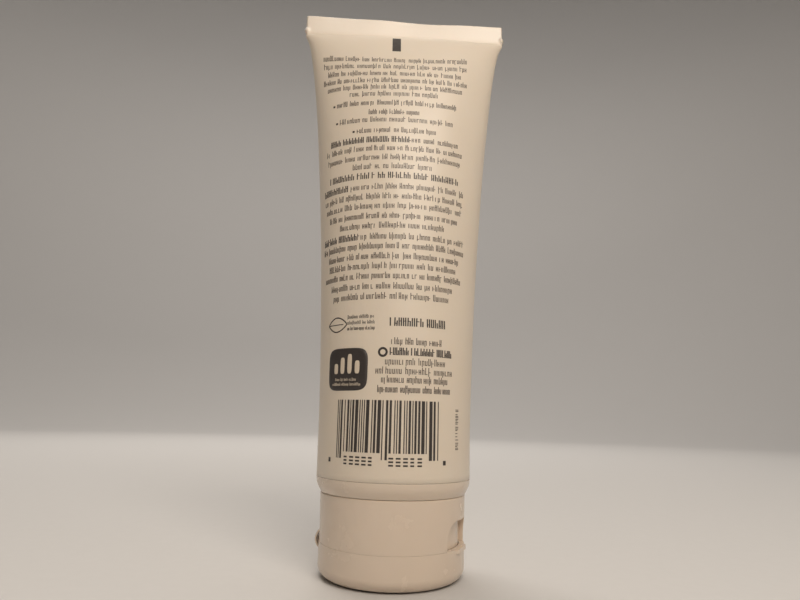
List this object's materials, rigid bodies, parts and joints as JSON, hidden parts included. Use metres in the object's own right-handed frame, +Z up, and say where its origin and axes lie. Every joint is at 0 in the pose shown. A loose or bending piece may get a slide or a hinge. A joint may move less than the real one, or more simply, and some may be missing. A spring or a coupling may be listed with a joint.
{
  "type": "squeeze tube with flip-top cap",
  "caption": "Plastic squeeze tube for shaving cream, round at the shoulder and heat-sealed flat at the end, standing on a screw cap with a flip-top lid.",
  "frame": {"origin": "centre of the lid's flat end, on the tube's axis", "axes": "+Z up along the tube towards its sealed end; the sealed end lies along X; the printed back faces -Y"},
  "size_m": [0.0596, 0.038, 0.1533],
  "materials": {
    "sleeve_plastic": "satin printed polyethylene",
    "head_plastic": "moulded, smooth",
    "cap_plastic": "moulded polypropylene, smooth",
    "cream": "soft white cream"
  },
  "bodies": {
    "cap": {"cap_base": "cap_plastic", "hinge_straps": "cap_plastic", "hinge_film": "cap_plastic"},
    "lid": {"cap_lid": "cap_plastic"},
    "outlet": {"neck_lip": "head_plastic"},
    "tube": {"tube_sleeve": "sleeve_plastic", "tube_head": "head_plastic", "cream_fill": "cream"}
  },
  "joints": [
    {"name": "lid_flip", "type": "hinge", "parent": "cap", "child": "lid", "pos_m": [-0.01646, 0.00716, 0.00765], "axis": [0.3987, 0.9171, 0], "range_deg": [0, 175], "deforming": ["hinge_straps", "hinge_film"]},
    {"name": "tube_rise", "type": "slide", "parent": "cap", "child": "outlet", "axis": [0, 0, 1], "range_m": [0, 0.006]},
    {"name": "tube_turn", "type": "hinge", "parent": "outlet", "child": "tube", "pos_m": [0, 0, 0], "axis": [0, 0, 1], "range_deg": [0, 721]}
  ],
  "couplings": [
    {"joint": "tube_turn", "follows": "tube_rise", "rad_per_m": 2094.4}
  ]
}
